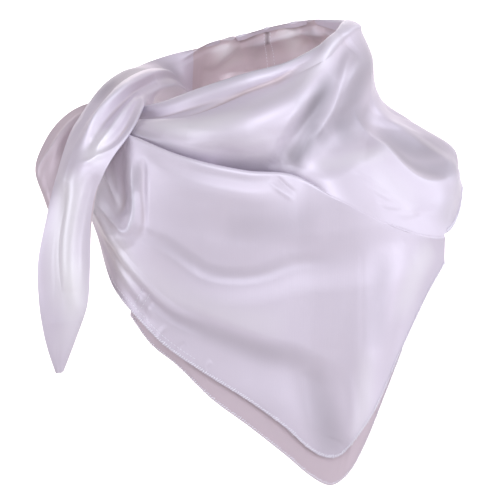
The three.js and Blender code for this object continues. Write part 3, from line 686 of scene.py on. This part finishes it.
class Finish(Maker):
    """A material and the nodes that make it."""

    def __init__(self, name):
        self.material = bpy.data.materials.new(name)
        self.material.use_nodes = True
        super().__init__(self.material.node_tree)
        self.shader = self.nodes["Principled BSDF"]

    def attribute(self, name):
        return self.flow("ShaderNodeAttribute", {"attribute_name": name}, output="Fac")

    def place(self, kind="Object"):
        return self.flow("ShaderNodeTexCoord", output=kind)

    def scaled(self, place, scale):
        return self.flow("ShaderNodeMapping", {}, {"Vector": place, "Scale": scale})

    def noise(self, place, scale, detail):
        return self.flow("ShaderNodeTexNoise", {}, {"Vector": place, "Scale": scale, "Detail": detail}, "Fac")

    def waves(self, place, scale, direction):
        settings = {"wave_type": "BANDS", "bands_direction": direction}
        return self.flow("ShaderNodeTexWave", settings, {"Vector": place, "Scale": scale}, "Fac")

    def blend(self, share, first, second):
        """Colours mixed by a share."""
        first, second = (colour if isinstance(colour, Flow) else (*colour, 1) for colour in (first, second))
        return self.flow("ShaderNodeMix", {"data_type": "RGBA"}, {"Factor": share, 6: first, 7: second}, 2)

    def bump(self, height, strength, distance, after=None):
        values = {"Height": height, "Strength": strength, "Distance": distance, "Normal": after}
        return self.flow("ShaderNodeBump", {}, values)

    def set(self, **sockets):
        """Feeds the shader's sockets, named with _ for each space."""
        for name, value in sockets.items():
            self.feed(self.shader.inputs[name.replace("_", " ")], value)
        return self.material


def satin(name, light, inner_shade, shade_and_mottle, ridge_highlight):
    """Glossy satin: a fine weave, streaks along its threads, warm painted shade in hollows, cool painted highlight on
    ridges.
    """
    finish = Finish(name)
    cloth = finish.place("UV")
    hollow = finish.attribute("hollow")
    mottle = finish.noise(finish.place(), 14.0, 3.0)
    streaks = finish.noise(finish.scaled(cloth, (900.0, 60.0, 1.0)), 1.0, 2.0)
    weave = finish.waves(cloth, 700.0, "DIAGONAL")
    # Masks for the painted shade in hollows and the painted highlight on ridges.
    deep = hollow.smooth(0.1, 2.4)
    high = (hollow * -1.0).smooth(0.1, 2.0)
    # Painted shade: the inner face darker and pinker.
    colour = finish.blend(finish.attribute("inner"), light, inner_shade)
    # Painted shade: hollows darkened towards a warm brown.
    colour = finish.blend(deep * 0.75, colour, shade_and_mottle)
    # Painted highlight: ridges lightened towards a cool lilac.
    colour = finish.blend(high * 0.6, colour, ridge_highlight)
    # A random mottle, darkened towards the same warm brown.
    colour = finish.blend((mottle - 0.5).held() * 0.35, colour, shade_and_mottle)
    # Painted light and shade strokes: darker towards black below 0, lighter towards white above 0.
    painted_light = finish.attribute("painted_light")
    colour = finish.blend((painted_light * -1.0).held(), colour, (0.0, 0.0, 0.0))
    colour = finish.blend(painted_light.held(), colour, (1.0, 1.0, 1.0))
    rough = 0.45 + streaks * 0.07 + mottle * 0.06
    normal = finish.bump(streaks, 0.10, 0.0004, finish.bump(weave, 0.05, 0.0002))
    return finish.set(
        Base_Color=colour,
        Roughness=rough,
        Metallic=0.35,
        Normal=normal,
        Sheen_Weight=0.25,
        Sheen_Roughness=0.4,
        Sheen_Tint=(0.93, 0.90, 1.0, 1),
    )


# Colour, then painted shade of the inner face, warm painted shade in hollows (also the mottle), painted highlight on
# ridges.
FINISHES = {
    "satin": satin("lilac_satin", (0.68, 0.62, 0.71), (0.64, 0.54, 0.58), (0.5, 0.4, 0.4), (0.8, 0.77, 0.86)),
    # A darker, pinker copy, as painted shade, for the pieces that hang behind others.
    "satin_inside": satin(
        "lilac_satin_inner_side_painted_shade", (0.66, 0.56, 0.62), (0.62, 0.52, 0.57), (0.5, 0.38, 0.38), (0.76, 0.71, 0.78)
    ),
}


def thread_finish():
    """Pale twisted thread."""
    finish = Finish("sewing_thread")
    shade = finish.noise(finish.place(), 260.0, 2.0)
    colour = finish.blend(shade, (0.70, 0.67, 0.75), (0.95, 0.94, 1.0))
    bump = finish.bump(shade, 0.3, 0.0003)
    return finish.set(Base_Color=colour, Roughness=0.45 + shade * 0.2, Metallic=0.0, Sheen_Weight=0.3, Normal=bump)


THREAD = thread_finish()


# ---- sewing ----
def sewing_tree():
    """A bead of thread at each point of a line, turned to lie on the cloth."""
    tree = bpy.data.node_groups.new("sewing", "GeometryNodeTree")
    inputs = {"Line": "Geometry", "Reach": "Float", "Thread": "Float", "Lean": "Float", "Unevenness": "Float"}
    for name, kind in {**inputs, "Finish": "Material"}.items():
        tree.interface.new_socket(name, in_out="INPUT", socket_type="NodeSocket" + kind)
    tree.interface.new_socket("Threads", in_out="OUTPUT", socket_type="NodeSocketGeometry")
    maker = Maker(tree)
    entry = maker.add("NodeGroupInput")
    line, reach, thread, lean, unevenness, finish = (Flow(maker, socket) for socket in entry.outputs[:6])

    def named(name):
        return maker.flow("GeometryNodeInputNamedAttribute", {"data_type": "FLOAT_VECTOR"}, {"Name": name})

    def chance(seed):
        return maker.flow("FunctionNodeRandomValue", {"data_type": "FLOAT"}, {2: -1.0, 3: 1.0, 8: seed}, 1)

    flat = maker.flow("FunctionNodeAlignRotationToVector", {"axis": "Z"}, {"Vector": named("facing")})
    along = {"Rotation": flat, "Vector": named("along")}
    turned = maker.flow("FunctionNodeAlignRotationToVector", {"axis": "X", "pivot_axis": "Z"}, along)
    angle = lean + chance(3) * unevenness
    slant = maker.flow("FunctionNodeAxisAngleToRotation", {}, {"Axis": (0, 0, 1), "Angle": angle})
    turned = maker.flow("FunctionNodeRotateRotation", {"rotation_space": "LOCAL"}, {0: turned, 1: slant})
    long = reach * 0.5 * (1.0 + chance(5) * unevenness)
    scale = maker.flow("ShaderNodeCombineXYZ", {}, [long, thread, thread * 0.8])
    bead = maker.flow("GeometryNodeMeshIcoSphere", {}, {"Radius": 1.0, "Subdivisions": 1})
    laid = {"Points": line, "Instance": bead, "Rotation": turned, "Scale": scale}
    beads = maker.flow("GeometryNodeInstanceOnPoints", {}, laid)
    whole = maker.flow("GeometryNodeRealizeInstances", {}, [beads])
    smooth = maker.flow("GeometryNodeSetShadeSmooth", {}, [whole])
    done = maker.flow("GeometryNodeSetMaterial", {}, {"Geometry": smooth, "Material": finish})
    leave = maker.add("NodeGroupOutput")
    maker.links.new(done.socket, leave.inputs[0])
    return tree


SEWING = sewing_tree()


def hem_line(grid, normals, inset):
    """The line that runs a little way in from the lower hem of a piece."""
    grid, normals = grid[:, ::-1], normals[:, ::-1]
    column = np.array([np.interp(inset, run, np.arange(len(run))) for run in run_along(grid[:, :24])])
    low = np.minimum(column.astype(int), grid.shape[1] - 2)
    share = (column - low)[:, None]
    rows = np.arange(len(grid))
    points = grid[rows, low] * (1 - share) + grid[rows, low + 1] * share
    return points, normals[rows, low]


def evenly(line, spacing, lift, face_out):
    """Places along a line a stitch apart, raised from the cloth, with their facing and direction."""
    points, facing = line
    run = run_along(points)
    count = max(int(run[-1] / spacing), 2)
    marks = (np.arange(count) + 0.5) * run[-1] / count
    place, face = (np.stack([np.interp(marks, run, part[:, i]) for i in range(3)], -1) for part in (points, facing))
    face = unit(face) * face_out
    return place + face * lift, face, unit(np.gradient(place, axis=0))


def sew(name, slot, lines, reach, thread, lean, unevenness):
    """One object of thread: a bead at each place on its lines."""
    places, facing, along = (np.concatenate([line[i] for line in lines]) for i in range(3))
    dots = bpy.data.meshes.new(name)
    dots.from_pydata((places / 1000).tolist(), [], [])
    for label, vectors in (("facing", facing), ("along", along)):
        arrows = dots.attributes.new(label, "FLOAT_VECTOR", "POINT")
        arrows.data.foreach_set("vector", vectors.astype(np.float32).ravel())
    piece = placed(name, dots)
    sizes = {"Reach": reach / 1000, "Thread": thread / 1000, "Lean": lean, "Unevenness": unevenness, "Finish": THREAD}
    modifier = piece.modifiers.new("sewing", "NODES")
    modifier.node_group = SEWING
    for socket in SEWING.interface.items_tree:
        if socket.name in sizes:
            modifier[socket.identifier] = sizes[socket.name]
    ready = bpy.context.evaluated_depsgraph_get()
    mesh = bpy.data.meshes.new_from_object(piece.evaluated_get(ready), depsgraph=ready)
    piece.modifiers.clear()
    piece.data = mesh
    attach(piece, "root")
    return piece


def overlock(name, slot, grid, normals):
    """Threads wrapped over a rolled lower hem, laid across both of its faces."""
    line = hem_line(grid, normals, HEM_WIDTH / 2)
    return sew(name, slot, [evenly(line, OVERLOCK_GAP, HEM_ROLL / 2, face) for face in (1, -1)], **OVERLOCK)


def running(name, slot, lines, face_out=1):
    """Straight stitches, one after another, along lines on the cloth."""
    return sew(name, slot, [evenly(line, RUNNING_GAP, CLOTH / 2 + 0.1, face_out) for line in lines], **RUNNING)


# ---- laying the cloth ----
def lay_cloth(node, slot, grid, normals, side=1, hem=1.0, painted_light=None, inside=None):
    """A piece of cloth in place of its solid; hem is the share of the roll at its lower edge."""
    plain = np.zeros(grid.shape[:2])
    hollow = cavity(grid, normals)
    # Hollows set the painted shade and ridges the painted highlight; the strokes paint light and shade on both faces.
    shades = {
        "hollow": [hollow, -hollow],
        "painted_light": [plain if part is None else part for part in (painted_light, inside)],
        "inner": [plain, plain + 1],
    }
    piece = cloth_mesh(node + "_cloth", grid, normals, hem_thickness(grid, hem), shades, side < 0)
    piece.data.materials.append(FINISHES[slot])
    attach(piece, "root")
    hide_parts(node)
    return piece


def band(sheet, low, high, downs, count, open_start=False, open_end=False):
    """A stretch of a sheet, with its neighbours' shading at the seams."""
    before, after = int(not open_start), int(not open_end)
    keys = low + (high - low) / count * np.arange(-before, count + 1 + after)
    return [part[before : len(keys) - after] for part in sheet.laid(keys, downs)]


def under_grid(keys):
    """The inner ply lies against the outer one's back and comes out below its hem."""
    covered = 80  # steps of it that the outer ply covers
    downs = steps_between(PLY_START, 1, covered)
    grid, normals = panel.laid(keys, downs)
    slack = PLY_GAP + PLY_SLACK * (downs - downs[0]) / (1 - downs[0])
    backed = grid - normals * (CLOTH + slack)[None, :, None]
    _, hem_r, hem_z = row_at(UNDER, keys).T
    hem = polar(keys, hem_r, hem_z)
    share = steps_between(0, 1, 24)[1:]
    below = backed[:, -1:] + (hem - backed[:, -1])[:, None] * share[None, :, None]
    whole = np.concatenate([backed, below], axis=1)
    near = covered - 2  # smoothed from just above the outer hem down
    for _ in range(3):
        whole[:, near:-1] = (whole[:, near - 1 : -2] + whole[:, near + 1 :] + 2 * whole[:, near:-1]) / 4
    return whole


def declare(cloth):
    """Works out how large a piece of cloth is when laid flat: its length, depth and area, which are not kept."""
    grid = cloth[0] / 1000
    length = round(run_along(grid.swapaxes(0, 1)).max(), 3)
    depth = round(run_along(grid).max(), 3)
    patches = np.cross(np.diff(grid, axis=0)[:, :-1], np.diff(grid, axis=1)[:-1])
    area = min(round(norm(patches, axis=2).sum(), 4), depth * length)


# ---- the pieces ----
front_steps, point_steps = 250, 220
ring_downs = even_downs(drape, key=60, count=130)
front_cloth = band(drape, FRONT_START, SIDE_SEAM, ring_downs, front_steps, open_start=True)
front_keys = steps_between(FRONT_START, SIDE_SEAM, front_steps)
front_hem = smooth_step(front_keys, PLEAT_END - 1, PLEAT_END + 2)  # rolled only past the pleat
# Each piece's strokes of painted light and shade, for its outer face and, at the back, its inner face.
front_painted_light = drape.painted_light(front_cloth[0], DRAPE_PAINTED_LIGHT)
front = lay_cloth("neck_drape_front", "satin", *front_cloth, hem=front_hem, painted_light=front_painted_light)

back_cloth = band(drape, SIDE_SEAM, SHOULDER_SEAM, ring_downs, count=130)
back_painted_light, back_inside_painted_light = (drape.painted_light(back_cloth[0], strokes) for strokes in (DRAPE_PAINTED_LIGHT, DRAPE_INSIDE_PAINTED_LIGHT))
back = lay_cloth("neck_drape_back", "satin", *back_cloth, painted_light=back_painted_light, inside=back_inside_painted_light)

wrap_downs = even_downs(wrap, key=290, count=70)
knot_cloth = band(wrap, SHOULDER_SEAM, KNOT_SEAM, wrap_downs, count=140)
knot = lay_cloth("knot_wrap", "satin", *knot_cloth, side=-1, hem=0, painted_light=wrap.painted_light(knot_cloth[0], WRAP_PAINTED_LIGHT))

tail_cloth = band(wrap, KNOT_SEAM, TAIL_END, wrap_downs, count=130, open_end=True)
tail = lay_cloth("front_tail", "satin", *tail_cloth, side=-1, painted_light=wrap.painted_light(tail_cloth[0], WRAP_PAINTED_LIGHT))

rear_downs = even_downs(rear, key=70, count=70)
leaf_cloth = band(rear, 0, REAR[-1][0], rear_downs, count=150, open_start=True, open_end=True)
leaf = lay_cloth("rear_tail", "satin_inside", *leaf_cloth, side=-1)

pleat_downs = even_downs(panel, key=0, count=22, low=PLEAT_KNOTS[0], high=0)
panel_downs = np.concatenate([pleat_downs[:-1], even_downs(panel, key=0, count=150)])
point_cloth = band(panel, FRONT_START, POINT_END, panel_downs, point_steps, open_start=True, open_end=True)
point = lay_cloth("front_panel", "satin", *point_cloth, painted_light=panel.painted_light(point_cloth[0], PANEL_PAINTED_LIGHT))

ply_grid = under_grid(steps_between(UNDER[0][0], UNDER[-1][0], 160))
ply_cloth = (ply_grid, grid_normals(ply_grid))
ply = lay_cloth("under_panel", "satin_inside", *ply_cloth)

# ---- the threads ----
past_pleat = int(front_steps * (PLEAT_END - FRONT_START) / (SIDE_SEAM - FRONT_START)) + 1
front_threads = overlock("drape_hem_threads", "satin", *(part[past_pleat:] for part in front_cloth))
back_threads = overlock("back_hem_threads", "satin", *back_cloth)
point_threads = overlock("point_hem_threads", "satin", *point_cloth)
ply_threads = overlock("inner_point_hem_threads", "satin_inside", *ply_cloth)
tail_threads = overlock("tail_hem_threads", "satin", *tail_cloth)
leaf_threads = overlock("rear_tail_hem_threads", "satin_inside", *leaf_cloth)

seam_downs = np.linspace(BACK_SEAM_TOP, BACK_SEAM_END, 40)
seam_lines = [drape.folded(np.full(len(seam_downs), key), seam_downs) for key in BACK_SEAM]
seam_threads = running("back_seam_threads", "satin", seam_lines, -1)
per_step = point_steps / (POINT_END - FRONT_START)
low_hem = slice(*(int(per_step * turn) for turn in LOW_HEM))
low_line = hem_line(*(part[low_hem] for part in point_cloth), LOW_HEM_INSET)
along = np.linspace(0, 1, 12)
darts = [panel.folded(start - DART_DRIFT * along, DART_TOP + DART_LENGTH * along) for start in DARTS]
low_threads = running("low_hem_threads", "satin", [low_line, *darts])

declare(front_cloth)
declare(back_cloth)
declare(knot_cloth)
declare(tail_cloth)
declare(leaf_cloth)
declare(point_cloth)
declare(ply_cloth)


# ---- stage ----
def aim(thing, place, target):
    """Puts a lamp or the camera in its place and turns it to a point."""
    thing.location = place
    thing.rotation_euler = (Vector(target) - thing.location).to_track_quat("-Z", "Y").to_euler()


def soft_light(name, place, size, power, target=SCARF_MIDDLE, colour=COOL_LAMP):
    light = bpy.data.lights.new(name, "AREA")
    light.shape = "DISK"
    light.size, light.energy, light.color = size, power, colour
    aim(placed(name, light), place, target)


def sweep():
    """A pale floor that curves up into a backdrop."""
    across = np.linspace(-4, 4, 9)
    curve = [(SWEEP_START, 0.0), (SWEEP_BEND, 0.0)]
    for turn in np.linspace(0.1, math.pi / 2, 14):
        curve.append((SWEEP_BEND + SWEEP_RADIUS * math.sin(turn), SWEEP_RADIUS * (1 - math.cos(turn))))
    curve.append((SWEEP_BEND + SWEEP_RADIUS, SWEEP_TOP))
    points = [(x, y, z + FLOOR_LEVEL) for x in across for y, z in curve]
    n = len(curve)
    faces = [(i * n + j, (i + 1) * n + j, (i + 1) * n + j + 1, i * n + j + 1) for i in range(8) for j in range(n - 1)]
    mesh = bpy.data.meshes.new("studio_sweep")
    mesh.from_pydata(points, [], faces)
    mesh.shade_smooth()
    mesh.materials.append(Finish("studio_white").set(Base_Color=(0.6, 0.57, 0.56, 1), Roughness=0.9))
    placed("studio_sweep", mesh)


def studio():
    """The sweep, soft lamps, pale air and the camera."""
    sweep()
    soft_light("key_light", (0.35, -1.6, 0.8), 1.0, 15)
    soft_light("side_light", (1.45, -1.1, -0.15), 0.9, 10)
    soft_light("shoulder_light", (1.6, 0.1, 0.7), 0.9, 7)
    soft_light("fill_light", (-1.6, -0.95, -0.05), 0.9, 9)
    soft_light("backdrop_light", (0.0, 0.8, 1.3), 1.4, 170, (0, 3.8, 0.4), WHITE_LAMP)
    world = bpy.data.worlds.new("studio_air")
    world.use_nodes = True
    air = world.node_tree.nodes["Background"]
    air.inputs["Color"].default_value = WARM_AIR
    air.inputs["Strength"].default_value = 0.42
    scene = bpy.context.scene
    scene.world = world
    scene.view_settings.view_transform = "Standard"
    camera = bpy.data.cameras.new("camera")
    camera.lens, camera.sensor_width = CAMERA_LENS, 36
    holder = placed("camera", camera)
    aim(holder, CAMERA_PLACE, CAMERA_TARGET)
    scene.camera = holder


studio()
